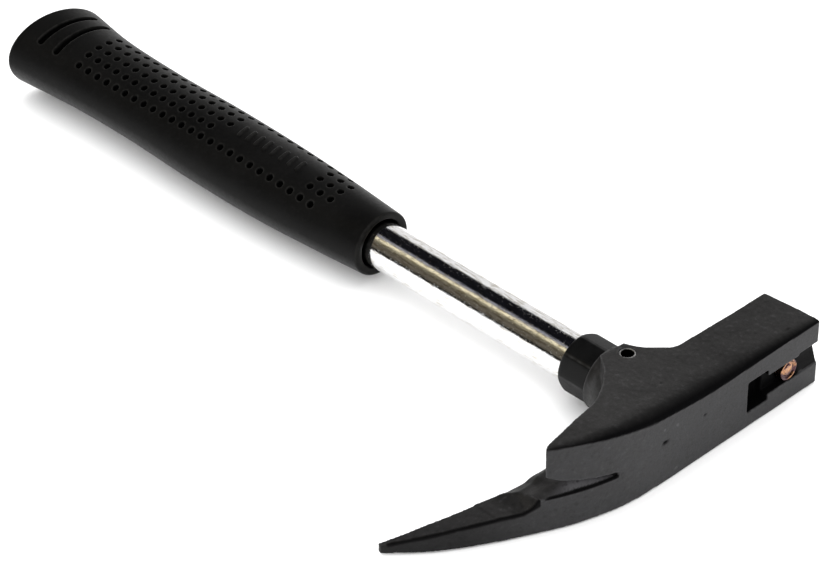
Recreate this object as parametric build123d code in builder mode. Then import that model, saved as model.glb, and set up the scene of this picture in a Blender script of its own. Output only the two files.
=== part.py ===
from build123d import *
import os

# Roofer's latting hammer with a tubular steel handle, all sizes in millimetres.
# Frame: +X towards the strike face, +Y from the crown of the head towards the butt of the
# grip, +Z up from the cheek that lies on the bench. The origin is on the crown face, where
# the axis of the handle meets it.

# head
strike_x = 60.2          # strike face, measured from the handle axis
block_depth = 23.0       # height of the strike block, crown to handle side
bottom_z = -12.4         # flat cheek that the hammer lies on
top_z = 13.4             # upper cheek at the strike face
eye_z = 15.1             # upper cheek over the handle
crown_flat_x = -19.1     # end of the straight crown, where the curve to the spike starts
spike_tip = (-104.9, 39.3)
prong_x = -60.8          # end of the short prong of the nail claw
prong_z = 21.0           # top of the prong's end
notch_x = -35.8          # root of the nail claw notch
step_x = -62.2           # where the lower claw wall steps down to the spike
spike_z = -3.1           # upper side of the spike
neck_y = 40.3            # joint between the head and the collar
neck_r = 11.6            # neck at the collar
neck_flat_y = 36.0       # end of the upper cheek at the neck

# handle
tube_r = 8.65
tube_wall = 1.4
tube_start = 6.4         # bottom of the blind socket in the head
tube_end = 321.0
core_end = 60.0          # reinforcing core inside the pinned end of the tube
pin_y = 31.3
pin_r = 2.9
pin_wall = 0.9
collar_end = 53.0
collar_r = 11.1          # octagon, measured over its corners

# nail holder in the crown
nail_z = -0.4            # centre line of the groove
pocket_x = (24.9, 35.2)
pocket_half = 6.2
pocket_depth = 6.0
channel_half = 3.9
channel_depth = 3.3
mouth_x = 50.5           # from here the groove rises towards the strike face
magnet_x = 46.2
magnet_r = 4.0
magnet_sunk = 0.5        # face of the magnet below the crown
magnet_length = 7.0

# grip
grip_start = 146.7
grip_end = 327.4

# ---------------------------------------------------------------- head
with BuildPart() as head_block:
    # outline between the crown and the handle side, as far as the foot of the spike
    with BuildSketch(Plane.XY.offset(bottom_z)):
        with BuildLine():
            crown = Line((strike_x, 0), (crown_flat_x, 0))
            crown_curve = Spline(crown @ 1, (-45.9, 4.0), (-60.1, 9.7), (-74.6, 16.9),
                                 tangents=(crown % 1, (-0.88, 0.47)))
            foot = Line(crown_curve @ 1, (-74.6, 28.0))
            far_low = Line(foot @ 1, (-51.0, 22.4))
            far_blend = Spline(far_low @ 1, (-26.4, 22.2), (-11.1, 31.9), (-8.0, neck_flat_y),
                               tangents=((1, -0.1), (1, 1)))
            neck_top = Line(far_blend @ 1, (3.2, neck_flat_y))
            inner = Spline(neck_top @ 1, (9.2, 27.6), (16.9, 23.3),
                           tangents=((0.3, -1), (1, -0.08)))
            far_block = Line(inner @ 1, (strike_x - 1.5, block_depth))
            face = Line(far_block @ 1, crown @ 0)
        make_face()
    extrude(amount=prong_z - bottom_z + 2.0)
    # profile of the cheeks: the upper one rises to the splayed prong, the notch is open below it
    with BuildSketch(Plane.XZ):
        with BuildLine():
            base = Line((strike_x + 2.0, bottom_z), (strike_x + 2.0, top_z - 0.1))
            rise = Spline(base @ 1, (1.8, eye_z), (-25.5, 18.2), (prong_x, prong_z),
                          tangents=((-1, 0.03), (-1, 0.01)))
            prong_end = Line(rise @ 1, (prong_x, 9.6))
            prong_cut = Line(prong_end @ 1, (-56.2, 7.0))
            notch_top = Spline(prong_cut @ 1, (-48.9, 4.9), (notch_x - 0.8, 2.75))
            notch_root = ThreePointArc(notch_top @ 1, (notch_x, 1.95), (notch_x - 0.8, 1.15))
            notch_low = Line(notch_root @ 1, (step_x, 1.0))
            step = Spline(notch_low @ 1, (-64.3, -1.6), (-68.6, spike_z),
                          tangents=((-0.6, -0.8), (-1, -0.04)))
            side_low = Line(step @ 1, (-76.4, spike_z))
            under = Polyline(side_low @ 1, (-76.4, bottom_z), base @ 0)
        make_face()
    extrude(amount=-55.0, mode=Mode.INTERSECT)
    # handle side of the prong, thinned to an edge at its end
    with BuildSketch(Plane.XY.offset(2.0)):
        with BuildLine():
            prong_far = Line((-58.8, 11.4), (-34.6, 16.9))
            prong_root = Spline(prong_far @ 1, (-23.6, 21.5), (-16.1, 27.1), (-10.0, 36.4),
                                tangents=((1, 0.23), (0.5, 1)))
            clear = Polyline(prong_root @ 1, (-18.0, 55.0), (-86.0, 55.0), (-86.0, 10.0),
                             (prong_x, 10.0), prong_far @ 0)
        make_face()
    extrude(amount=40.0, mode=Mode.SUBTRACT)
    # bevel along the handle side of the lower claw wall
    with BuildSketch(Plane.YZ.offset(-90.0)):
        with BuildLine():
            Polyline((18.6, 2.0), (26.0, spike_z - 0.4), (40.0, spike_z - 0.4), (40.0, 2.0), close=True)
        make_face()
    extrude(amount=60.0, mode=Mode.SUBTRACT)

# the spike, a pyramid that follows the crown curve down to its blunt tip
with BuildPart() as head_spike:
    with BuildSketch(Plane.XY.offset(bottom_z)):
        with BuildLine():
            root = Line((-67.3, 25.8), (-67.3, 13.2))
            lower = Spline(root @ 1, (-88.1, 24.8), spike_tip, tangents=((-0.9, 0.45), (-0.7, 0.72)))
            tip = Line(lower @ 1, (spike_tip[0] + 0.5, spike_tip[1] + 1.1))
            upper = Spline(tip @ 1, (-86.2, 31.1), root @ 0, tangents=((0.84, -0.54), (1, -0.2)))
        make_face()
    extrude(amount=11.0)
    with BuildSketch(Plane.XZ):
        with BuildLine():
            back = Line((-67.3, bottom_z), (-67.3, spike_z + 0.1))
            slope = Spline(back @ 1, (-85.5, spike_z - 1.2), (-95.5, -6.3), (-105.8, -9.6),
                           tangents=((-1, -0.04), (-1, -0.4)))
            close_tip = Polyline(slope @ 1, (-105.8, bottom_z), back @ 0)
        make_face()
    extrude(amount=-55.0, mode=Mode.INTERSECT)

# round neck that grows out of the head around the socket, flat on the cheek it lies on
with BuildPart() as head_neck:
    with BuildSketch(Plane.XY):
        with BuildLine():
            neck_axis = Line((0, 18.0), (0, neck_y))
            neck_face = Line(neck_axis @ 1, (neck_r, neck_y))
            neck_side = Line(neck_face @ 1, (neck_r, neck_y - 1.4))
            neck_flare = Spline(neck_side @ 1, (neck_r + 1.0, neck_flat_y), (neck_r + 1.0, 18.0),
                                tangents=((0, -1), (-0.1, -1)))
            neck_foot = Line(neck_flare @ 1, neck_axis @ 0)
        make_face()
    revolve(axis=Axis.Y)
    with Locations((0, 30.0, bottom_z)):
        Box(60.0, 60.0, 10.0, align=(Align.CENTER, Align.CENTER, Align.MAX), mode=Mode.SUBTRACT)

with BuildPart() as hammer_head:
    add(head_block.part)
    add(head_spike.part)
    add(head_neck.part)
    # blind socket for the handle
    with Locations(Plane(origin=(0, neck_y, 0), z_dir=(0, 1, 0))):
        Hole(radius=tube_r, depth=neck_y - tube_start)
    # cross hole for the spring pin
    with Locations(Plane(origin=(0, pin_y, 18.0), z_dir=(0, 0, 1))):
        Hole(radius=pin_r, depth=36.0)
    # nail holder: pocket for the nail head, channel for its shank, mouth at the strike face
    with BuildSketch(Plane(origin=(0, 0, 0), x_dir=(1, 0, 0), z_dir=(0, -1, 0))):
        with Locations(((pocket_x[0] + pocket_x[1]) / 2, nail_z)):
            Rectangle(pocket_x[1] - pocket_x[0], 2 * pocket_half)
    extrude(amount=-pocket_depth, mode=Mode.SUBTRACT)
    with BuildSketch(Plane(origin=(0, 0, 0), x_dir=(1, 0, 0), z_dir=(0, -1, 0))):
        with Locations(((pocket_x[1] + mouth_x) / 2, nail_z)):
            Rectangle(mouth_x - pocket_x[1], 2 * channel_half)
    extrude(amount=-channel_depth, mode=Mode.SUBTRACT)
    with BuildSketch(Plane.YZ.offset(mouth_x)):
        with BuildLine():
            Polyline((-1.0, nail_z + channel_half + 0.9), (0.0, nail_z + channel_half + 0.9),
                     (2.3, nail_z + channel_half - 0.4), (2.0, 0.8), (0.5, nail_z - channel_half + 0.4),
                     (0.0, nail_z - channel_half), (-1.0, nail_z - channel_half), close=True)
        make_face()
    extrude(amount=20.0, mode=Mode.SUBTRACT)
    # seat of the magnet
    with Locations(Plane(origin=(magnet_x, 0, nail_z), z_dir=(0, -1, 0))):
        Hole(radius=magnet_r, depth=magnet_sunk + magnet_length)
hammer_head.part.label = "hammer_head"

# ---------------------------------------------------------------- handle
with BuildPart() as handle_tube:
    with Locations(Plane(origin=(0, tube_start, 0), z_dir=(0, 1, 0))):
        Cylinder(radius=tube_r, height=tube_end - tube_start,
                 align=(Align.CENTER, Align.CENTER, Align.MIN))
        Cylinder(radius=tube_r - tube_wall, height=tube_end - tube_start,
                 align=(Align.CENTER, Align.CENTER, Align.MIN), mode=Mode.SUBTRACT)
    with Locations(Plane(origin=(0, pin_y, 18.0), z_dir=(0, 0, 1))):
        Hole(radius=pin_r, depth=36.0)
handle_tube.part.label = "handle_tube"

with BuildPart() as tube_core:
    with Locations(Plane(origin=(0, tube_start, 0), z_dir=(0, 1, 0))):
        Cylinder(radius=tube_r - tube_wall, height=core_end - tube_start,
                 align=(Align.CENTER, Align.CENTER, Align.MIN))
    chamfer(tube_core.edges().filter_by(GeomType.CIRCLE), length=0.8)
    with Locations(Plane(origin=(0, pin_y, 18.0), z_dir=(0, 0, 1))):
        Hole(radius=pin_r, depth=36.0)
tube_core.part.label = "tube_core"

# slotted spring pin through the head, the tube and its core
pin_low = bottom_z + 0.4
pin_top = eye_z - 0.4
with BuildPart() as spring_pin:
    with BuildSketch(Plane.XY.offset(pin_low)):
        with Locations((0, pin_y)):
            Circle(pin_r)
            Circle(pin_r - pin_wall, mode=Mode.SUBTRACT)
            with Locations((-pin_r, 0)):
                Rectangle(2.4, 0.8, mode=Mode.SUBTRACT)
    extrude(amount=pin_top - pin_low)
spring_pin.part.label = "spring_pin"

# eight-sided plastic collar that covers the joint of the tube and the head
with BuildPart() as head_collar:
    with BuildSketch(Plane(origin=(0, neck_y, 0), z_dir=(0, 1, 0))):
        RegularPolygon(radius=collar_r, side_count=8)
    extrude(amount=collar_end - neck_y)
    chamfer(head_collar.edges().group_by(Axis.Y)[-1], length=0.7)
    with Locations(Plane(origin=(0, collar_end, 0), z_dir=(0, 1, 0))):
        Hole(radius=tube_r, depth=collar_end - neck_y)
head_collar.part.label = "head_collar"

with BuildPart() as nail_magnet:
    with Locations(Plane(origin=(magnet_x, magnet_sunk, nail_z), z_dir=(0, 1, 0))):
        Cylinder(radius=magnet_r, height=magnet_length,
                 align=(Align.CENTER, Align.CENTER, Align.MIN))
    fillet(nail_magnet.edges().group_by(Axis.Y)[0], radius=0.6)
nail_magnet.part.label = "nail_magnet"

# ---------------------------------------------------------------- grip
# oval sections along the handle: place, half width, half height, shift towards the strike
# face, and slope of the section across the handle, which is greatest at the butt
grip_sections = (
    (grip_start, 13.1, 12.4, -0.1, 0.0),
    (grip_start + 7.3, 13.5, 12.3, -0.1, 0.0),
    (grip_start + 18.3, 14.4, 12.5, -0.1, 0.0),
    (grip_start + 30.3, 15.4, 13.0, -0.1, 0.0),
    (grip_start + 53.3, 16.6, 13.6, -0.1, 0.0),
    (grip_start + 78.3, 17.2, 13.8, 0.2, 0.0),
    (grip_start + 103.3, 17.1, 13.5, 0.6, 0.0),
    (grip_start + 128.3, 16.8, 13.1, 1.0, 0.0),
    (grip_start + 145.3, 17.3, 13.3, 1.3, 0.0),
    (grip_start + 157.3, 18.0, 13.7, 1.5, 0.03),
    (grip_start + 167.3, 18.8, 14.2, 1.6, 0.11),
    (grip_end - 1.5, 20.3, 15.2, 2.1, 0.18),
    (grip_end, 18.8, 14.0, 2.1, 0.18),
)
with BuildPart() as rubber_grip:
    for place, half_x, half_z, shift_x, lean in grip_sections:
        with BuildSketch(Plane(origin=(shift_x, place, 0), x_dir=(1, -lean, 0), z_dir=(lean, 1, 0))):
            Ellipse(half_x, half_z)
    loft()
    with Locations(Plane(origin=(0, grip_start, 0), z_dir=(0, -1, 0))):
        Hole(radius=tube_r, depth=tube_end - grip_start)
rubber_grip.part.label = "rubber_grip"

# ---------------------------------------------------------------- export
os.makedirs("parts", exist_ok=True)
export_step(hammer_head.part, "parts/hammer_head.step")
export_step(handle_tube.part, "parts/handle_tube.step")
export_step(tube_core.part, "parts/tube_core.step")
export_step(spring_pin.part, "parts/spring_pin.step")
export_step(head_collar.part, "parts/head_collar.step")
export_step(nail_magnet.part, "parts/nail_magnet.step")
export_step(rubber_grip.part, "parts/rubber_grip.step")
for piece in (hammer_head, handle_tube, tube_core, spring_pin, head_collar, nail_magnet, rubber_grip):
    box = piece.part.bounding_box()
    print(piece.part.label, round(piece.part.volume / 1000, 2), "cm3", len(piece.part.solids()),
          [round(v, 1) for v in (box.min.X, box.min.Y, box.min.Z, box.max.X, box.max.Y, box.max.Z)])
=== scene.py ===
import math

import bpy
import numpy as np
from mathutils import Matrix, Vector, noise
from mathutils.bvhtree import BVHTree


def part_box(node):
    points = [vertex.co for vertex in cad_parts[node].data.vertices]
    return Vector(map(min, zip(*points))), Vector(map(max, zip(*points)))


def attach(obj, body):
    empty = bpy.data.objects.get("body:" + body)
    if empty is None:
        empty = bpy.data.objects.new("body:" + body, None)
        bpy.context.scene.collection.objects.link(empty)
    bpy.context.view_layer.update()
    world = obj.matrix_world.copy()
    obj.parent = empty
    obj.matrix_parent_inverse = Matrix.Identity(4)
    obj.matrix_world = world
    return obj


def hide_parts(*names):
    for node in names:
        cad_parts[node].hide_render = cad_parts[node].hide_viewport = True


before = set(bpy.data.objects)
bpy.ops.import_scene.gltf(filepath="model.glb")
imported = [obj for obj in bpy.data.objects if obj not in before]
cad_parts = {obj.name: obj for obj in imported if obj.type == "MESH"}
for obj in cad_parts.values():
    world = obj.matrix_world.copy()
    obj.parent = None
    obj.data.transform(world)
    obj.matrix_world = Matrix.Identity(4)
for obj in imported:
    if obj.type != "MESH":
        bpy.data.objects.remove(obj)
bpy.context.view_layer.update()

# Roofer's latting hammer. Metres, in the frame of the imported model: +X towards the strike face,
# +Y from the crown towards the butt of the grip, +Z up from the cheek that lies on the floor.
MM = 0.001


# ------------------------------------------------------------------ mesh tools
def new_object(name, verts, faces):
    mesh = bpy.data.meshes.new(name)
    mesh.from_pydata([tuple(v) for v in verts], [], faces)
    mesh.validate()
    mesh.update()
    mesh.polygons.foreach_set("use_smooth", [True] * len(mesh.polygons))
    ob = bpy.data.objects.new(name, mesh)
    bpy.context.scene.collection.objects.link(ob)
    return ob


def skin(name, rings, start=None, end=None, loop=False):
    """A surface through closed rings of points, with a fan to a pole at either end."""
    rings = np.asarray(rings, float)
    count, size, _ = rings.shape
    verts = list(rings.reshape(-1, 3))
    faces = []
    last = count if loop else count - 1
    for i in range(last):
        a, b = i * size, ((i + 1) % count) * size
        for j in range(size):
            k = (j + 1) % size
            faces.append((a + j, b + j, b + k, a + k))
    if start is not None:
        verts.append(start)
        faces += [(len(verts) - 1, j, (j + 1) % size) for j in range(size)]
    if end is not None:
        verts.append(end)
        base = (count - 1) * size
        faces += [(len(verts) - 1, base + (j + 1) % size, base + j) for j in range(size)]
    return new_object(name, verts, faces)


def lathe_y(profile, segments, centre=(0.0, 0.0)):
    """Rings round an axis along +Y from (place, radius) points."""
    t = np.linspace(0, 2 * math.pi, segments, endpoint=False)
    return [np.stack([centre[0] + r * np.sin(t), np.full_like(t, y), centre[1] + r * np.cos(t)], 1)
            for y, r in profile]


def arc(centre, radius, start, stop, steps):
    """Points of a round corner as (place, radius) pairs, angles in degrees from +place."""
    out = []
    for i in range(steps + 1):
        a = math.radians(start + (stop - start) * i / steps)
        out.append((centre[0] + radius * math.cos(a), centre[1] + radius * math.sin(a)))
    return out


def vertices(mesh):
    co = np.empty(len(mesh.vertices) * 3)
    mesh.vertices.foreach_get("co", co)
    return co.reshape(-1, 3)


def normals(mesh):
    no = np.empty(len(mesh.vertices) * 3)
    mesh.vertices.foreach_get("normal", no)
    return no.reshape(-1, 3)


def put(mesh, co):
    """Write the vertices' places back."""
    mesh.vertices.foreach_set("co", co.ravel())
    mesh.update()


def edge_pairs(mesh):
    pairs = np.empty(len(mesh.edges) * 2, int)
    mesh.edges.foreach_get("vertices", pairs)
    return pairs.reshape(-1, 2)


def relax(mesh, steps, factor=0.5):
    """Smooth the mesh by moving each vertex towards the middle of its neighbours."""
    edges = edge_pairs(mesh)
    co = vertices(mesh)
    degree = np.bincount(edges.ravel(), minlength=len(co)).astype(float)[:, None]
    for _ in range(steps):
        total = np.zeros_like(co)
        for axis in range(3):
            total[:, axis] = (np.bincount(edges[:, 0], co[edges[:, 1], axis], len(co))
                              + np.bincount(edges[:, 1], co[edges[:, 0], axis], len(co)))
        co = co + factor * (total / degree - co)
    put(mesh, co)


def store(mesh, name, values):
    layer = mesh.attributes.new(name, "FLOAT", "POINT")
    layer.data.foreach_set("value", np.asarray(values, float))


def ramp(x, low, high):
    """A smooth step from 0 at low to 1 at high."""
    t = np.clip((x - low) / (high - low), 0, 1)
    return t * t * (3 - 2 * t)


def by_place(x, *points):
    """Straight lines through (place, value) points, read at x."""
    places, values = zip(*points)
    return np.interp(x, places, values)


def oval(half_x, half_z, angles, offset=0.0):
    """Points of an upright oval, as x and z."""
    return half_x * np.sin(angles) + offset, half_z * np.cos(angles)


# ------------------------------------------------------------------ material tools
class Nodes:
    def __init__(self, name, world=False):
        if world:
            self.owner = bpy.data.worlds.new(name)
        else:
            self.owner = bpy.data.materials.new(name)
        self.owner.use_nodes = True
        self.tree = self.owner.node_tree
        self.tree.nodes.clear()

    def add(self, kind, links=None, **values):
        node = self.tree.nodes.new(kind)
        for key, value in values.items():
            setattr(node, key, value)
        for key, value in (links or {}).items():
            socket = node.inputs[key]
            if isinstance(value, bpy.types.NodeSocket):
                self.tree.links.new(value, socket)
            else:
                socket.default_value = value
        return node

    def math(self, operation, a, b=0.0, clamp=False):
        return self.add("ShaderNodeMath", {0: a, 1: b}, operation=operation, use_clamp=clamp).outputs[0]

    def place(self):
        return self.add("ShaderNodeTexCoord").outputs["Object"]

    def noise(self, place, scale, detail=3.0, roughness=0.55):
        return self.add("ShaderNodeTexNoise", {"Vector": place, "Scale": scale, "Detail": detail,
                                               "Roughness": roughness}).outputs["Fac"]

    def span(self, value, low, high, to_low=0.0, to_high=1.0):
        return self.add("ShaderNodeMapRange", {"Value": value, "From Min": low, "From Max": high,
                                               "To Min": to_low, "To Max": to_high}).outputs["Result"]

    def blend(self, amount, a, b):
        node = self.add("ShaderNodeMix", data_type="RGBA")
        for socket, value in ((node.inputs[0], amount), (node.inputs[6], a), (node.inputs[7], b)):
            if isinstance(value, bpy.types.NodeSocket):
                self.tree.links.new(value, socket)
            else:
                socket.default_value = value
        return node.outputs[2]

    def attribute(self, name):
        return self.add("ShaderNodeAttribute", attribute_name=name).outputs["Fac"]

    def bump(self, height, strength, distance, normal=None):
        links = {"Height": height, "Strength": strength, "Distance": distance}
        if normal is not None:
            links["Normal"] = normal
        return self.add("ShaderNodeBump", links).outputs["Normal"]

    def sheen_level(self, level, edge_level, mask=None, until=0.92):
        """Specular level that goes from level, seen squarely, to edge_level at grazing angles."""
        facing = self.add("ShaderNodeLayerWeight", {"Blend": 0.5}).outputs["Facing"]
        amount = self.span(facing, 0.45, until, level, edge_level)
        if mask is not None:
            amount = self.math("MULTIPLY", amount, self.span(mask, 0.0, 1.0, 1.0, 0.08))
        return amount

    def finish(self, **sockets):
        shader = self.add("ShaderNodeBsdfPrincipled", {k.replace("_", " "): v for k, v in sockets.items()})
        out = self.add("ShaderNodeOutputMaterial")
        self.tree.links.new(shader.outputs[0], out.inputs[0])
        return self.owner


def stretched(n, place, scale):
    return n.add("ShaderNodeMapping", {"Vector": place, "Scale": scale}).outputs[0]


def forging_paint():
    n = Nodes("black_forging_paint")
    place = n.place()
    broad = n.noise(place, 60, 4)
    patch = n.noise(place, 190, 4, 0.6)
    grain = n.noise(place, 1500, 3, 0.6)
    speck = n.noise(place, 560, 3, 0.6)
    grind = n.noise(stretched(n, place, (1900, 240, 1900)), 1.0, 2, 0.6)
    painted_shade = n.attribute("painted_shade")
    wear = n.attribute("wear")
    knock_shade = n.attribute("knock_shade")
    base = n.blend(n.span(broad, 0.35, 0.65), (0.0064, 0.0060, 0.0060, 1), (0.0100, 0.0094, 0.0094, 1))
    # painted light: lighter, bluish paint on the faces towards the crown and on the top of the spike near
    # its tip
    base = n.blend(n.math("MULTIPLY", n.attribute("painted_light"), 0.6), base, (0.0200, 0.0198, 0.0225, 1))
    base = n.blend(n.span(patch, 0.35, 0.7, 0, 0.5), base, (0.0125, 0.0118, 0.0118, 1))
    # painted light: paler paint on the lower wall of the claw notch, where it lies in shade
    base = n.blend(n.attribute("pale"), base, (0.078, 0.076, 0.081, 1))
    base = n.blend(n.span(speck, 0.56, 0.74, 0, 0.6), base, (0.028, 0.027, 0.0285, 1))
    base = n.blend(n.span(speck, 0.44, 0.30, 0, 0.6), base, (0.003, 0.003, 0.003, 1))
    base = n.blend(n.span(grind, 0.60, 0.80, 0, 0.06), base, (0.018, 0.017, 0.017, 1))
    rub = n.math("MULTIPLY", wear, n.span(n.noise(place, 420, 3), 0.36, 0.60), True)
    base = n.blend(n.math("MULTIPLY", rub, 0.40), base, (0.07, 0.07, 0.073, 1))
    # painted shade: near black along the crown, spike and notch edges, inside the nail holder and on the
    # crown towards the spike's tip
    base = n.blend(painted_shade, base, (0.0016, 0.0016, 0.0018, 1))
    # painted shade: near black in the knocks
    base = n.blend(knock_shade, base, (0.0016, 0.0016, 0.0018, 1))
    rough = n.math("ADD", n.span(grain, 0.3, 0.7, 0.42, 0.54), n.math("MULTIPLY", broad, 0.06))
    height = n.math("ADD", n.math("MULTIPLY", grain, 0.9),
                    n.math("ADD", n.math("MULTIPLY", speck, 1.2), n.math("MULTIPLY", grind, 0.03)))
    bump = n.bump(height, 0.7, 0.00005)
    level = n.sheen_level(0.28, 0.10, n.math("MAXIMUM", painted_shade, knock_shade))
    return n.finish(Base_Color=base, Roughness=rough, Normal=bump, Specular_IOR_Level=level)


def chrome():
    n = Nodes("bright_chrome")
    place = n.place()
    haze = n.noise(stretched(n, place, (500, 60, 500)), 1.0, 3)
    drawn = n.noise(stretched(n, place, (1300, 240, 1300)), 1.0, 4, 0.65)
    spots = n.noise(place, 1100, 3, 0.65)
    base = n.blend(n.span(haze, 0.3, 0.7), (0.92, 0.92, 0.925, 1), (0.84, 0.845, 0.855, 1))
    base = n.blend(n.span(drawn, 0.48, 0.66, 0, 0.7), base, (0.44, 0.40, 0.32, 1))
    base = n.blend(n.span(spots, 0.62, 0.72, 0, 0.35), base, (0.45, 0.43, 0.40, 1))
    rough = n.math("ADD", n.span(haze, 0.3, 0.75, 0.03, 0.07), n.span(drawn, 0.4, 0.75, 0.0, 0.08))
    pits = n.span(spots, 0.61, 0.68, 0.0, 0.40)
    height = n.math("ADD", n.math("MULTIPLY", drawn, 0.8), pits)
    return n.finish(Base_Color=base, Metallic=1.0, Roughness=rough, Normal=n.bump(height, 0.55, 0.00008))


def rubber():
    n = Nodes("grip_rubber")
    place = n.place()
    broad = n.noise(place, 60, 3)
    grain = n.noise(place, 2600, 2, 0.5)
    cells = n.noise(place, 700, 3, 0.6)
    hollow_shade = n.attribute("hollow_shade")
    rim = n.attribute("rim")
    base = n.blend(n.span(broad, 0.3, 0.7), (0.0019, 0.0019, 0.0019, 1), (0.0034, 0.0033, 0.0032, 1))
    base = n.blend(n.span(cells, 0.52, 0.75, 0, 0.4), base, (0.0070, 0.0067, 0.0063, 1))
    # painted highlight: lighter rims round the dimples and the slots, lighter ribs, and light lines on the
    # front lip and the rounded rim of the butt
    painted_highlight = n.math("MULTIPLY", rim, n.span(cells, 0.3, 0.6, 0.1, 0.6))
    base = n.blend(painted_highlight, base, (0.030, 0.029, 0.026, 1))
    # painted shade: near black inside the dimples, the slots and the sunk gap round the tube
    base = n.blend(hollow_shade, base, (0.0006, 0.0006, 0.0006, 1))
    rough = n.math("ADD", n.span(cells, 0.3, 0.7, 0.46, 0.58), n.math("MULTIPLY", broad, 0.06))
    bump = n.bump(n.math("ADD", grain, n.math("MULTIPLY", cells, 1.2)), 0.5, 0.00005)
    level = n.sheen_level(0.09, 0.50, hollow_shade)
    return n.finish(Base_Color=base, Roughness=rough, Normal=bump, Specular_IOR_Level=level)


def plastic():
    n = Nodes("collar_plastic")
    place = n.place()
    broad = n.noise(place, 260, 3)
    grain = n.noise(place, 2400, 2)
    base = n.blend(n.span(broad, 0.3, 0.7), (0.0020, 0.0020, 0.0021, 1), (0.0036, 0.0036, 0.0037, 1))
    base = n.blend(n.math("MULTIPLY", n.attribute("wear"), n.span(broad, 0.4, 0.65, 0.1, 0.6)), base,
                   (0.04, 0.04, 0.04, 1))
    rough = n.span(grain, 0.3, 0.7, 0.30, 0.40)
    bump = n.bump(n.math("ADD", grain, broad), 0.35, 0.00003)
    level = n.sheen_level(0.20, 0.04, until=0.66)
    return n.finish(Base_Color=base, Roughness=rough, Normal=bump, Specular_IOR_Level=level)


def pin_steel():
    n = Nodes("pin_steel")
    place = n.place()
    broad = n.noise(place, 700, 3)
    base = n.blend(n.span(broad, 0.35, 0.65), (0.34, 0.34, 0.345, 1), (0.56, 0.55, 0.54, 1))
    # painted shade: near black on the inner face of the sleeve
    base = n.blend(n.attribute("bore"), base, (0.004, 0.004, 0.004, 1))
    rough = n.span(broad, 0.3, 0.7, 0.28, 0.42)
    return n.finish(Base_Color=base, Metallic=0.9, Roughness=rough, Normal=n.bump(broad, 0.4, 0.00003))


def copper():
    n = Nodes("magnet_copper")
    place = n.place()
    broad = n.noise(place, 330, 3, 0.6)
    fine = n.noise(place, 2600, 3)
    base = n.blend(n.span(broad, 0.40, 0.53), (0.52, 0.27, 0.14, 1), (0.085, 0.045, 0.050, 1))
    base = n.blend(n.span(fine, 0.55, 0.75, 0, 0.6), base, (0.10, 0.06, 0.07, 1))
    rough = n.span(broad, 0.3, 0.7, 0.14, 0.30)
    return n.finish(Base_Color=base, Metallic=1.0, Roughness=rough, Normal=n.bump(fine, 0.45, 0.00005))


def wood():
    n = Nodes("core_wood")
    place = stretched(n, n.place(), (900, 60, 900))
    grain = n.noise(place, 1.0, 4)
    base = n.blend(n.span(grain, 0.3, 0.7), (0.55, 0.40, 0.24, 1), (0.36, 0.24, 0.13, 1))
    rough = n.span(grain, 0.3, 0.7, 0.6, 0.75)
    return n.finish(Base_Color=base, Roughness=rough, Normal=n.bump(grain, 0.4, 0.0001))


# ------------------------------------------------------------------ head
# All places on the head are in millimetres.
HEAD_VOXEL = 0.40
SNAP_REACH = 0.3          # how far a remeshed vertex may be from the CAD surface it goes back to
CHEEKS = (-59.0, 60.0)    # the stretch of the head that has both cheeks
SPIKE = (-103.0, -61.0)   # the stretch of the spike that has a crown edge
STATION_REACH = 0.8
NOTCH_LOW_Z = 1.1         # lower wall of the claw notch

# knocks in the forging: place, size and depth
KNOCKS = (
    ((-15.4, 0.0, 4.1), 1.15, 0.40),
    ((3.6, 0.0, 4.8), 0.7, 0.30),
    ((-21.8, 16.4, 15.6), 1.0, 0.45),
    ((48.2, 4.0, 12.9), 1.1, 0.40),
    ((-22.5, 8.4, 14.0), 0.6, 0.25),
    ((24.0, 15.0, 14.6), 0.5, 0.2),
    ((-40.0, 3.0, -6.0), 0.5, 0.2),
    ((-5.0, 12.0, 15.9), 0.5, 0.2),
    ((30.0, 23.0, 2.0), 0.8, 0.3),
)
# bare flecks in the paint of the crown: place and size
FLECKS = (
    ((-9.9, 0.0, 8.1), 0.8),
    ((-9.7, 0.0, -10.0), 0.9),
    ((-16.0, 0.0, 9.5), 0.5),
    ((12.0, 0.0, -3.0), 0.4),
)


class HeadLines:
    """The crown, the upper cheek and the spike's crown edge, read off the head every millimetre."""

    def __init__(self, co):
        self.places = np.arange(CHEEKS[0], CHEEKS[1] + 1)
        upper = co[co[:, 2] > 3.0]
        near = [upper[np.abs(upper[:, 0] - place) < STATION_REACH] for place in self.places]
        self.crown_y = np.array([points[:, 1].min() for points in near])
        self.cheek_z = np.array([points[:, 2].max() for points in near])
        self.spike_places = np.arange(*SPIKE)
        low = co[co[:, 2] < -7.0]
        near = [low[np.abs(low[:, 0] - place) < STATION_REACH] for place in self.spike_places]
        self.spike_y = np.array([points[:, 1].min() for points in near])

    def behind_crown(self, co):
        return co[:, 1] - np.interp(co[:, 0], self.places, self.crown_y)

    def below_cheek(self, co):
        return np.interp(co[:, 0], self.places, self.cheek_z) - co[:, 2]

    def behind_spike_edge(self, co):
        return co[:, 1] - np.interp(co[:, 0], self.spike_places, self.spike_y)


def fine_head(source):
    """The CAD head with an even, fine mesh whose vertices lie on the CAD surfaces."""
    ob = bpy.data.objects.new("forged_head", source.data.copy())
    bpy.context.scene.collection.objects.link(ob)
    remesh = ob.modifiers.new("remesh", "REMESH")
    remesh.mode = "VOXEL"
    remesh.voxel_size = HEAD_VOXEL * MM
    remesh.adaptivity = 0
    graph = bpy.context.evaluated_depsgraph_get()
    mesh = bpy.data.meshes.new_from_object(ob.evaluated_get(graph))
    mesh.name = "forged_head"
    ob.modifiers.clear()
    ob.data = mesh
    cad = source.data
    surface = BVHTree.FromPolygons([v.co for v in cad.vertices], [p.vertices for p in cad.polygons])
    co = vertices(mesh)
    for i, point in enumerate(co):
        spot = surface.find_nearest(Vector(point), SNAP_REACH * MM)[0]
        if spot is not None:
            co[i] = spot
    put(mesh, co)
    return ob


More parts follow.
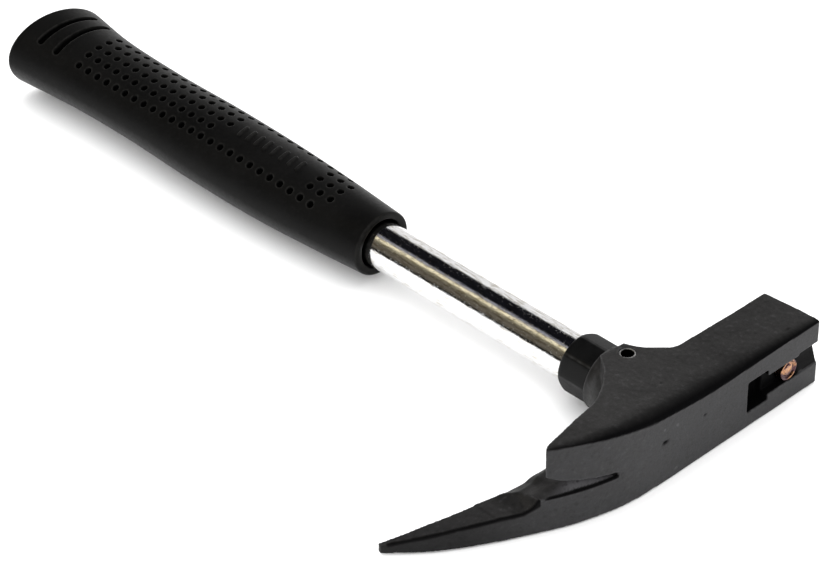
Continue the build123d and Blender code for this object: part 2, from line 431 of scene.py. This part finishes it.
def forge(co, lines):
    """Forged shapes that the plain CAD head leaves out."""
    x, y, z = co.T
    behind = lines.behind_crown(co)
    below = lines.below_cheek(co)
    # the upper cheek falls away towards the crown, which is ground flat through the rounding
    reach = by_place(x, (-61, 2.5), (-45, 3.6), (-20, 4.8), (5, 4.8), (30, 3.4), (61, 2.6))
    fall = by_place(x, (-61, 0.3), (-45, 1.6), (-20, 2.9), (5, 2.4), (30, 1.1), (61, 0.5))
    near = np.clip(1 - np.maximum(behind, 0) / reach, 0, 1) ** 2
    share = ramp(z, 6.5, 11.0) * (x > CHEEKS[0] - 3)
    z = z - fall * near * share * np.clip(1 - below / 9.0, 0, 1)
    # the lower wall of the claw notch leans a little towards the crown
    lean = by_place(x, (-58, 0.0), (-54, 0.8), (-49, 2.4), (-41, 1.1), (-37, 0.0))
    lean = lean * ramp(behind, 0.4, 4.5) * (1 - ramp(y, 11.0, 17.0))
    z = z + lean * (1 - ramp(np.abs(z - NOTCH_LOW_Z), 0.3, 1.0))
    # the far edge of that wall drops towards the spike
    drop = 1.8 * ramp(y, 13.0, 20.0) * ramp(-x, 53.0, 57.0) * ramp(x, -66.0, -62.0)
    z = z - drop * np.clip((z + 6.0) / 7.0, 0, 1) * (z < 2.5)
    return np.stack([x, y, z], 1)


def forging_relief(co):
    """Gentle waves and fine pits of the forging scale, weaker on the ground crown."""
    wave = np.array([noise.noise(Vector((x / 9.0, y / 9.0, z / 9.0))) for x, y, z in co])
    pits = np.array([noise.noise(Vector((x / 1.7 + 31, y / 1.7, z / 1.7))) for x, y, z in co])
    flat = ramp(co[:, 1], 0.4, 2.5)
    return 0.16 * wave * (0.35 + 0.65 * flat) + 0.05 * pits * (0.5 + 0.5 * flat)


def knock_depth(co):
    depth = np.zeros(len(co))
    for spot, size, deep in KNOCKS:
        away = co - np.array(spot)
        away[:, 0] /= 1.8
        far = np.linalg.norm(away, axis=1)
        depth = np.maximum(depth, deep * np.clip(1 - far / size, 0, 1))
    return depth


def edge_turn(mesh):
    """How sharply the surface turns at each vertex, in radians per millimetre."""
    edges = edge_pairs(mesh)
    co, no = vertices(mesh), normals(mesh)
    step = co[edges[:, 1]] - co[edges[:, 0]]
    turn = ((no[edges[:, 1]] - no[edges[:, 0]]) * step).sum(1) / (np.linalg.norm(step, axis=1) ** 2 + 1e-12)
    total = np.bincount(edges[:, 0], turn, len(co)) + np.bincount(edges[:, 1], turn, len(co))
    return total / np.bincount(edges.ravel(), minlength=len(co)) * MM


def crown_painted_shade(co, no, behind):
    """Painted shade: a black band on the upper cheek along the crown."""
    x = co[:, 0]
    width = by_place(x, (-61, 1.2), (-50, 2.4), (-30, 6.5), (0, 9.0), (30, 7.0), (48, 4.0), (61, 2.6))
    strength = by_place(x, (-61, 0.97), (-40, 1.0), (40, 1.0), (61, 0.95))
    upper_side = ramp(no[:, 2], 0.10, 0.45) * ramp(co[:, 2], 5.0, 8.0) * (x > -61.5)
    return strength * upper_side * np.clip(1.15 - np.maximum(behind, 0) / width, 0, 1) ** 1.3


def spike_painted_shade(co, lines):
    """Painted shade: a black band along the upper edge of the spike."""
    x, z = co[:, 0], co[:, 2]
    away = np.abs(lines.behind_spike_edge(co) - 0.6)
    top = by_place(x, (-104, -9.2), (-98, -7.2), (-86, -4.4), (-75, -3.3), (-67, -3.0), (-62, -0.5))
    return 0.95 * np.clip(1.4 - away / 0.75, 0, 1) * (x < -62.0) * ramp(z, top - 1.6, top - 0.6)


def notch_painted_shade(co, behind):
    """Painted shade: a black line along the lower edge of the claw notch."""
    x = co[:, 0]
    edge = np.clip(1.5 - np.abs(behind - 0.5) / 0.6, 0, 1) * (np.abs(co[:, 2] - NOTCH_LOW_Z) < 0.7)
    return 0.95 * edge * (x > -60.5) * (x < -35.5)


def holder_painted_shade(co, no):
    """Painted shade: black inside the pocket and the groove of the nail holder."""
    x, y, z = co.T
    pocket = (x > 24.5) * (x < 50.0) * (y > 0.35) * (y < 6.6) * (np.abs(z + 0.4) < 6.6)
    groove = (x > 49.9) * (y > 0.5) * (y < 3.0) * (np.abs(z + 0.3) < 4.2) * (no[:, 1] < -0.2)
    return np.maximum(0.97 * pocket, 0.85 * groove)


def mark_head(mesh, lines, dent):
    """Store where the paint is worn, and where painted shade and painted light go: black edges and hollows,
    darker knocks, a lighter crown side and a paler notch wall.
    """
    turn = edge_turn(mesh)
    co, no = vertices(mesh) / MM, normals(mesh)
    x, y, z = co.T
    wear = np.clip((turn - 0.30) / 0.5, 0, 1)
    for spot, size in FLECKS:
        far = np.linalg.norm(co - np.array(spot), axis=1)
        wear = np.maximum(wear, 3.0 * np.clip(1.2 - far / size, 0, 1))
    behind = lines.behind_crown(co)
    # painted shade along the crown, the spike and the notch, and inside the nail holder
    painted_shade = crown_painted_shade(co, no, behind)
    for more in (spike_painted_shade(co, lines), notch_painted_shade(co, behind), holder_painted_shade(co, no)):
        painted_shade = np.maximum(painted_shade, more)
    free = 1 - np.clip(painted_shade * 2, 0, 1)
    # painted light: the faces towards the crown, fading towards the spike's tip, and the top of the spike
    # near its tip are made lighter
    crown_side = ramp(-no[:, 1], 0.55, 0.85) * by_place(x, (-105, 0.15), (-85, 0.45), (-60, 0.9), (61, 1.0))
    spike_back = 0.6 * (x < -70) * (no[:, 2] > 0.5) * by_place(x, (-104, 1.0), (-75, 0.2))
    painted_light = np.maximum(crown_side, spike_back) * free
    # painted light: the lower wall of the claw notch is made paler where it lies in shade
    notch_wall = (x > -62.5) * (x < -37.0) * (z > -0.5) * (z < 4.5) * (no[:, 2] > 0.4)
    pale = notch_wall * by_place(x, (-62, 0.05), (-58, 0.2), (-52, 0.8), (-40, 0.9)) * free
    pale = pale * (1 - ramp(y, 8.0, 13.0))
    # painted shade: the crown darkens towards the tip of the spike
    painted_shade = np.maximum(painted_shade, 0.55 * ramp(-no[:, 1], 0.4, 0.7) * ramp(-x, 52.0, 88.0))
    wear = wear * (1 - np.clip(painted_shade * 2, 0, 1)) * by_place(x, (-75, 0.35), (-62, 1.0))
    store(mesh, "painted_shade", np.clip(painted_shade, 0, 1))
    store(mesh, "wear", wear)
    # painted shade: the knocks are darkened by their depth
    store(mesh, "knock_shade", np.clip(dent * 4.0, 0, 1))
    store(mesh, "painted_light", painted_light)
    store(mesh, "pale", pale)


def head():
    ob = fine_head(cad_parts["hammer_head"])
    mesh = ob.data
    co = vertices(mesh) / MM
    lines = HeadLines(co)
    put(mesh, forge(co, lines) * MM)
    relax(mesh, 3)
    co, no = vertices(mesh) / MM, normals(mesh)
    co += no * forging_relief(co)[:, None]
    dent = knock_depth(co)
    co -= no * dent[:, None]
    put(mesh, co * MM)
    relax(mesh, 1, 0.3)
    mark_head(mesh, lines, dent)
    mesh.polygons.foreach_set("use_smooth", [True] * len(mesh.polygons))
    mesh.materials.clear()
    mesh.materials.append(forging_paint())
    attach(ob, "root")
    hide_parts("hammer_head")


# ------------------------------------------------------------------ handle
def tube():
    lo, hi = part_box("handle_tube")
    radius = (hi[0] - lo[0]) / 2
    wall, soft = 1.4 * MM, 0.3 * MM
    bore = radius - wall
    y0, y1 = lo[1] + 0.1 * MM, hi[1] - 0.1 * MM
    profile = [(y0, bore)] + arc((y0 + soft, radius - soft), soft, 180, 90, 5)
    profile += [(y0 + (y1 - y0) * i / 40, radius) for i in range(1, 40)]
    profile += arc((y1 - soft, radius - soft), soft, 90, 0, 5) + [(y1, bore)]
    ob = skin("chromed_tube", lathe_y(profile, 256), loop=True)
    ob.data.materials.append(chrome())
    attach(ob, "root")
    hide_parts("handle_tube")


def collar():
    """Eight flats with worn corners, a small lip at the head and a turned shoulder at the tube."""
    lo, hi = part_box("head_collar")
    corner = (hi[0] - lo[0]) / 2
    tube_lo, tube_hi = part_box("handle_tube")
    bore = (tube_hi[0] - tube_lo[0]) / 2 + 0.05 * MM
    y0, y1 = lo[1] + 0.05 * MM, hi[1]
    length = y1 - y0
    shoulder, shoulder_drop = 2.2 * MM, 1.9 * MM
    eighth = math.pi / 4
    t = np.linspace(0, 2 * math.pi, 480, endpoint=False)
    from_flat = (t % eighth) - eighth / 2
    octagon = corner * math.cos(eighth / 2) / np.cos(from_flat)
    corner_wear = np.exp(-((eighth / 2 - np.abs(from_flat)) * corner / (0.35 * MM)) ** 2)

    def ring(radius, place):
        return np.stack([radius * np.sin(t), np.full_like(t, place), radius * np.cos(t)], 1)

    # places along the collar and the greatest radius there
    straight = length * 0.3
    limits = [(0.0, corner - 0.35 * MM), (0.12 * MM, corner - 0.1 * MM), (0.35 * MM, corner)]
    limits += [(straight + (length - straight - shoulder) * i / 8, corner) for i in range(9)]
    for i in range(1, 13):
        a = math.pi / 2 * i / 12
        drop = shoulder_drop * (1 - math.cos(a)) ** 0.9
        limits.append((length - shoulder + shoulder * math.sin(a), corner - drop))
    soft = 0.22 * MM          # softness of the corner between the flats and the turned shapes
    plain = np.zeros_like(t)
    rings, wear = [ring(bore, y0)], [plain]
    for place, limit in limits:
        blend = np.exp(-(octagon - corner) / soft) + np.exp(-(limit - corner) / soft)
        rings.append(ring(corner - soft * np.log(blend) - 0.12 * MM * corner_wear, y0 + place))
        wear.append(corner_wear * 0.8)
    rings += [ring(bore + 0.5 * MM, y1), ring(bore, y1 - 0.5 * MM)]
    wear += [plain, plain]
    ob = skin("neck_collar", rings, loop=True)
    store(ob.data, "wear", np.concatenate(wear))
    ob.data.materials.append(plastic())
    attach(ob, "root")
    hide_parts("head_collar")


def pin():
    """Slotted sleeve, open towards -X, with chamfered ends."""
    lo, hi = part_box("spring_pin")
    radius = (hi[1] - lo[1]) / 2
    centre_y = (hi[1] + lo[1]) / 2
    wall, chamfer, slot = 0.65 * MM, 0.3 * MM, 0.18
    outer, inner = radius - 0.03 * MM, radius - wall
    z0, z1 = lo[2], hi[2] + 0.2 * MM
    levels = [z0 + (z1 - z0) * k / 6 for k in range(1, 6)]
    section = [(inner, z0 + chamfer), (inner + chamfer * 0.5, z0)]
    section += [(outer - chamfer, z0), (outer, z0 + chamfer)]
    section += [(outer, z) for z in levels]
    section += [(outer, z1 - chamfer), (outer - chamfer * 0.6, z1 - chamfer * 0.2), (outer - chamfer, z1)]
    section += [(inner + chamfer * 0.5, z1), (inner, z1 - chamfer)]
    section += [(inner, z) for z in reversed(levels)]
    turns = np.linspace(math.pi + slot, 3 * math.pi - slot, 97)
    verts = [(r * math.cos(a), centre_y + r * math.sin(a), z) for a in turns for r, z in section]
    count = len(section)
    last = (len(turns) - 1) * count
    faces = []
    for i in range(len(turns) - 1):
        a, b = i * count, (i + 1) * count
        for j in range(count):
            k = (j + 1) % count
            faces.append((a + j, a + k, b + k, b + j))
    faces.append(tuple(range(count - 1, -1, -1)))
    faces.append(tuple(range(last, last + count)))
    ob = new_object("spring_pin_sleeve", verts, faces)
    at = np.array(verts)
    # painted shade on the inner face of the sleeve
    shaded_bore = np.hypot(at[:, 0], at[:, 1] - centre_y) < inner + 0.05 * MM
    store(ob.data, "bore", shaded_bore.astype(float))
    ob.data.materials.append(pin_steel())
    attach(ob, "root")
    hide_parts("spring_pin")


def magnet():
    """A turned rim, a shallow ring groove and a raised middle."""
    lo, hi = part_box("nail_magnet")
    radius = (hi[0] - lo[0]) / 2 - 0.02 * MM
    cx, cz = (hi[0] + lo[0]) / 2, (hi[2] + lo[2]) / 2
    y0, y1 = lo[1], hi[1]
    rim = 0.35 * MM
    # depth below the rim and radius, from the middle outwards
    face = ((0.35, 0.4), (0.30, 1.1), (0.18, 1.7), (0.30, 2.1), (0.75, 2.5), (0.70, 2.8), (0.30, 3.1),
            (0.06, 3.4), (0.0, 3.6))
    profile = [(y0 + depth * MM, r * MM) for depth, r in face]
    profile += arc((y0 + rim, radius - rim), rim, 170, 90, 6)
    profile += [(y1 - 0.2 * MM, radius), (y1, radius - 0.3 * MM)]
    rings = lathe_y(profile, 96, (cx, cz))
    ob = skin("holder_magnet", rings, start=(cx, y0 + 0.36 * MM, cz), end=(cx, y1, cz))
    ob.data.materials.append(copper())
    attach(ob, "root")
    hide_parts("nail_magnet")


# ------------------------------------------------------------------ grip
# All sizes of the grip are in millimetres, and places run along it from its front.
# Place, half width, half height and shift towards the strike face of the oval section:
GRIP = np.array((
    (0, 12.6, 12.0, -0.1),
    (20, 14.6, 12.5, -0.1),
    (50, 16.5, 13.6, -0.1),
    (85, 17.2, 13.8, 0.3),
    (125, 16.8, 13.1, 0.9),
    (155, 17.8, 13.6, 1.4),
    (179.1, 20.3, 15.2, 2.1),
))
LIP_END, RIM_START = 0.9, 179.1      # where the front lip ends and the rounded rim of the butt starts
LIP_R, RIM_R = 0.85, 1.55
BUTT_LEAN = 0.18                     # slope of the butt across the handle
DIMPLE_PITCH, DIMPLE_ROW_GAP, DIMPLE_COUNT = 5.215, 4.95, 25
DIMPLE_FIRST = 297.4                 # Y of the dimples nearest to the butt
DIMPLE_CENTRE_X = -0.4
DIMPLE_DEPTH, SLOT_DEPTH, RIB_HEIGHT = 1.2, 1.6, 0.55
SLOTS_Y = (317.2, 309.2)
SLOT_FROM, SLOT_TO = -10.6, 12.8
RIB_FIRST_Y, RIB_PITCH, RIB_COUNT, RIB_HALF = 187.5, 4.3, 8, 2.3
TUBE_GAP = 0.75                      # sunk gap round the tube at the front


def along(places, column):
    """Smooth values of one column of GRIP at these places."""
    x, y = GRIP[:, 0], GRIP[:, column]
    slope = np.gradient(y, x)
    i = np.clip(np.searchsorted(x, places, side="right") - 1, 0, len(x) - 2)
    h = x[i + 1] - x[i]
    t = np.clip((places - x[i]) / h, 0, 1)
    return ((1 + 2 * t) * (1 - t) ** 2 * y[i] + t * (1 - t) ** 2 * h * slope[i]
            + t * t * (3 - 2 * t) * y[i + 1] + t * t * (t - 1) * h * slope[i + 1])


def grip_lean(places):
    """The sections slope across the handle more and more towards the butt."""
    return BUTT_LEAN * ramp(places, 149, 181)


def grip_angles():
    """Angles round the grip, closely spaced where the upper and lower patterns are."""
    fine = np.radians(np.arange(-52, 52.01, 0.9))
    side = np.radians(np.arange(54.5, 125.6, 2.5))
    return np.concatenate([fine, side, fine + math.pi, side + math.pi])


def press_dimples(relief, x, level, stretch):
    """Five straight rows; the three middle ones are broken by a plain panel."""
    cut, edge, _ = relief
    for row in range(-2, 3):
        before_panel = 14 if row == -1 else 15
        if abs(row) == 2:
            numbers = list(range(DIMPLE_COUNT))
        else:
            numbers = list(range(before_panel)) + [23, 24, 25]
        for number in numbers:
            dy = level - (DIMPLE_FIRST - DIMPLE_PITCH * number)
            i = np.where(np.abs(dy[:, 0]) < 1.9)[0]
            dx = (x[i] - (DIMPLE_CENTRE_X + DIMPLE_ROW_GAP * row)) * stretch[i]
            far = np.sqrt(dx ** 2 + dy[i] ** 2)
            cut[i] = np.maximum(cut[i], DIMPLE_DEPTH * (1 - ramp(far, 0.85, 1.42)))
            edge[i] = np.maximum(edge[i], 0.5 * np.exp(-((far - 1.6) / 0.2) ** 2))


def press_slots(relief, x, level, stretch):
    """Two grooves round the butt."""
    cut, edge, _ = relief
    middle, half = (SLOT_FROM + SLOT_TO) / 2, (SLOT_TO - SLOT_FROM) / 2
    for place in SLOTS_Y:
        dx = np.maximum(0, np.abs(x - middle) - half) * stretch
        far = np.sqrt(dx ** 2 + (level - place) ** 2)
        np.maximum(cut, SLOT_DEPTH * (1 - ramp(far, 0.80, 1.30)), out=cut)
        np.maximum(edge, 0.5 * np.exp(-((far - 1.5) / 0.25) ** 2), out=edge)


def raise_ribs(relief, x, level, stretch):
    """Plain slanted ribs on the panel."""
    rib = relief[2]
    for number in range(RIB_COUNT):
        dx = (x - DIMPLE_CENTRE_X) * stretch
        dy = level - (RIB_FIRST_Y + RIB_PITCH * number) - 0.18 * dx
        far = np.sqrt(np.maximum(0, np.abs(dx) - RIB_HALF) ** 2 + dy ** 2)
        np.maximum(rib, 1 - ramp(far, 0.55, 0.95), out=rib)


def grip_wall(front, phi):
    """The patterned wall, as (ring, painted shade, painted highlight) for each place along it."""
    places = np.concatenate([np.linspace(LIP_END, 16, 40), np.arange(16.3, 173.6, 0.27),
                             np.linspace(173.9, RIM_START, 18)])
    half_x, half_z = along(places, 1)[:, None], along(places, 2)[:, None]
    shift, lean = along(places, 3)[:, None], grip_lean(places)[:, None]
    x, z = oval(half_x, half_z, phi)
    nx, nz = x / half_x ** 2, z / half_z ** 2
    size = np.sqrt(nx ** 2 + nz ** 2)
    nx, nz = nx / size, nz / size
    y = front + places[:, None] - lean * x
    # distances across the handle are measured along the surface, which is longer where it slopes
    slope = np.abs(x) / half_x * (half_z / half_x) / np.sqrt(np.clip(1 - (x / half_x) ** 2, 0.05, 1))
    stretch = np.sqrt(1 + slope ** 2)
    level = front + places[:, None] + 0 * x
    relief = np.zeros((3,) + x.shape)
    for shape in (press_dimples, press_slots, raise_ribs):
        shape(relief, x + shift, level, stretch)
    cut, edge, rib = relief
    move = cut - RIB_HEIGHT * rib
    points = np.stack([x + shift - nx * move, y, z - nz * move], 2)
    # painted shade inside the dimples and the slots
    hollow_shade = np.clip(cut / 0.35, 0, 1)
    # painted highlight along the rims of the dimples and the slots and on the ribs
    rim = np.clip(edge * (cut < 0.3) + 0.25 * rib, 0, 1)
    return list(zip(points, hollow_shade, rim))


def grip_ends(front, phi, tube_r, tube_end):
    """The front with its lip round the tube, and the rounded butt with a shallow dish."""

    def plain(place, half_x, half_z, offset=0.0, lean=0.0, dark=0.0, light=0.0):
        x = half_x * np.sin(phi)
        ring = np.stack([x + offset, front + place - lean * x, half_z * np.cos(phi)], 1)
        return ring, np.full(len(phi), dark), np.full(len(phi), light)

    gap = tube_r + TUBE_GAP
    # dark is painted shade in the sunk gap round the tube; light is a painted highlight on the lip
    start = [plain(tube_end - front, tube_r, tube_r), plain(60, tube_r, tube_r),
             plain(4.5, tube_r, tube_r, dark=1.0), plain(4.2, tube_r + 0.3, tube_r + 0.3, dark=1.0),
             plain(3.6, gap, gap, dark=1.0), plain(1.2, gap, gap, dark=0.7),
             plain(0.5, gap + 0.12, gap + 0.1, dark=0.2, light=0.3),
             plain(0.22, gap + 0.45, gap + 0.4, light=0.3)]
    half_x, half_z = (along(np.array([LIP_END]), k)[0] for k in (1, 2))
    for turn in (80, 60, 40, 20):
        s, k = math.sin(math.radians(turn)), math.cos(math.radians(turn))
        inset = LIP_R * (1 - k)
        # painted highlight on the front lip
        start.append(plain(LIP_END - LIP_R * s, half_x - inset, half_z - inset, -0.1, light=0.35))
    half_x, half_z, shift = (along(np.array([RIM_START]), k)[0] for k in (1, 2, 3))
    lean = grip_lean(RIM_START)
    butt = []
    for turn in range(12, 91, 13):
        s, k = math.sin(math.radians(turn)), math.cos(math.radians(turn))
        place, inset = RIM_START + RIM_R * s, RIM_R * (1 - k)
        # painted highlight on the rounded rim of the butt, strongest half way round it
        butt.append(plain(place, half_x - inset, half_z - inset, shift, lean, light=1.8 * s * k))
    for inset, sink in ((2.6, 0.02), (3.6, 0.25), (4.2, 0.55), (5.0, 0.7), (8.0, 0.78), (11.0, 0.8)):
        scale = 1 - inset / half_x
        butt.append(plain(RIM_START + RIM_R - sink, half_x * scale, half_z * scale, shift, lean))
    middle = (shift, front + RIM_START + RIM_R - 0.8, 0)
    return start, butt, middle


def grip():
    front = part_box("rubber_grip")[0][1] / MM
    tube_lo, tube_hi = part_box("handle_tube")
    tube_r = (tube_hi[0] - tube_lo[0]) / 2 / MM
    tube_end = tube_hi[1] / MM
    phi = grip_angles()
    start, butt, middle = grip_ends(front, phi, tube_r, tube_end)
    rings, hollow_shade, rim = zip(*(start + grip_wall(front, phi) + butt))
    ob = skin("rubber_grip_sleeve", np.array(rings) * MM,
              start=(0, tube_end * MM, 0), end=tuple(v * MM for v in middle))
    poles = [np.zeros(2)]
    store(ob.data, "hollow_shade", np.concatenate(list(hollow_shade) + poles))
    store(ob.data, "rim", np.concatenate(list(rim) + poles))
    ob.data.materials.append(rubber())
    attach(ob, "root")
    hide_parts("rubber_grip")


head()
tube()
collar()
pin()
magnet()
grip()
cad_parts["tube_core"].data.materials.clear()
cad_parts["tube_core"].data.materials.append(wood())


# ------------------------------------------------------------------ studio
def floor():
    """A pale floor just under the head and the butt of the grip, the two places the hammer lies on."""
    head_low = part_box("hammer_head")[0][2]
    grip_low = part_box("rubber_grip")[0][2]
    y_head, y_grip = 20 * MM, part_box("rubber_grip")[1][1] - 5 * MM
    clearance = 0.6 * MM
    slope = (grip_low - head_low) / (y_grip - y_head)
    half, parts = 3.0, 12      # metres from the middle to an edge, and squares along an edge
    verts, faces = [], []
    for i in range(parts + 1):
        for j in range(parts + 1):
            x, y = -half + 2 * half * i / parts, -half + 2 * half * j / parts
            verts.append((x, y, head_low - clearance + slope * (y - y_head)))
    for i in range(parts):
        for j in range(parts):
            k = i * (parts + 1) + j
            faces.append((k, k + parts + 1, k + parts + 2, k + 1))
    ob = new_object("floor", verts, faces)
    n = Nodes("floor_white")
    tone = n.noise(n.place(), 3.0, 2)
    base = n.blend(tone, (0.90, 0.90, 0.90, 1), (0.92, 0.92, 0.92, 1))
    ob.data.materials.append(n.finish(Base_Color=base, Roughness=n.span(tone, 0, 1, 0.7, 0.75)))


# What the polished tube reflects, by the angle round the handle from +Z towards +X, in degrees:
# pale walls, dark flags and one warm strip lamp. Each entry is an angle and a colour.
STRIPS = (
    (-180, 0.9, 0.9, 0.92),
    (-97, 0.72, 0.74, 0.78),
    (-93, 0.008, 0.008, 0.008),
    (-81, 0.010, 0.010, 0.009),
    (-76, 0.11, 0.098, 0.078),
    (-66, 0.13, 0.112, 0.085),
    (-56, 0.09, 0.078, 0.058),
    (-48, 0.16, 0.14, 0.10),
    (-39, 0.32, 0.28, 0.19),
    (-36, 0.88, 0.78, 0.52),
    (-28, 1.0, 0.90, 0.64),
    (-24, 0.24, 0.22, 0.20),
    (-19, 0.34, 0.34, 0.38),
    (-15, 0.24, 0.24, 0.27),
    (-12, 0.006, 0.006, 0.008),
    (38, 0.008, 0.008, 0.010),
    (43, 0.90, 0.89, 0.88),
    (100, 0.86, 0.85, 0.84),
    (180, 0.9, 0.9, 0.92),
)


def studio():
    """Plain white light for every surface; only mirror-like reflections see the strips."""
    n = Nodes("studio", world=True)
    direction = n.add("ShaderNodeTexCoord").outputs["Generated"]
    axes = n.add("ShaderNodeSeparateXYZ", {0: direction})
    turn = n.math("DEGREES", n.math("ARCTAN2", axes.outputs[0], axes.outputs[2]))
    strip_ramp = n.add("ShaderNodeValToRGB", {"Fac": n.span(turn, -180, 180)})
    stops = strip_ramp.color_ramp.elements
    stops[0].position, stops[1].position = 0.0, 1.0
    for angle, *_ in STRIPS[1:-1]:
        stops.new((angle + 180) / 360)
    for stop, (_, *colour) in zip(stops, STRIPS):
        stop.color = (*colour, 1)
    behind = n.span(axes.outputs[1], -0.35, 0.0, 0.5, 1.0)
    seen = n.blend(behind, (0.0, 0.0, 0.0, 1), strip_ramp.outputs[0])
    strips = n.add("ShaderNodeBackground", {"Color": seen, "Strength": 1.0})
    plain = n.add("ShaderNodeBackground", {"Color": (1, 1, 1, 1), "Strength": 1.6})
    ray = n.add("ShaderNodeLightPath")
    glossy = ray.outputs["Is Glossy Ray"]
    mix = n.add("ShaderNodeMixShader", {0: glossy, 1: plain.outputs[0], 2: strips.outputs[0]})
    out = n.add("ShaderNodeOutputWorld")
    n.tree.links.new(mix.outputs[0], out.inputs[0])
    bpy.context.scene.world = n.owner
    n.owner.cycles.sampling_method = "NONE"


def lamp(name, place, aim, size, power):
    """A square soft lamp that lights the hammer but isn't seen or reflected."""
    light = bpy.data.lights.new(name, "AREA")
    light.shape = "RECTANGLE"
    light.size, light.size_y = size, size
    light.energy = power
    ob = bpy.data.objects.new(name, light)
    ob.location = place
    ob.rotation_euler = (Vector(aim) - Vector(place)).to_track_quat("-Z", "Y").to_euler()
    ob.visible_glossy = False
    ob.visible_camera = False
    bpy.context.scene.collection.objects.link(ob)


def camera():
    """Looks down at the bare tube from the side of the crown and the spike."""
    aim = Vector((-7.52, 122.75, 0.0)) * MM
    azimuth, elevation, roll = (math.radians(angle) for angle in (-44.2424, 36.2233, -0.3431))
    distance = 1186.6 * MM
    data = bpy.data.cameras.new("camera")
    data.sensor_width = 36.0
    data.lens = 150.09
    turn = (Matrix.Rotation(azimuth, 4, "Z") @ Matrix.Rotation(math.pi / 2 - elevation, 4, "X")
            @ Matrix.Rotation(roll, 4, "Z"))
    ob = bpy.data.objects.new("camera", data)
    ob.matrix_world = Matrix.Translation(aim) @ turn @ Matrix.Translation((0, 0, distance))
    bpy.context.scene.collection.objects.link(ob)
    bpy.context.scene.camera = ob


floor()
studio()
lamp("overhead", place=(0.1, 0.25, 1.4), aim=(0, 0.15, 0), size=1.6, power=9)
lamp("front_fill", place=(-0.9, -0.9, 0.9), aim=(0, 0.1, 0), size=1.0, power=3)
camera()
scene = bpy.context.scene
scene.view_settings.view_transform = "Standard"
scene.view_settings.look = "None"
scene.view_settings.exposure = 0.0
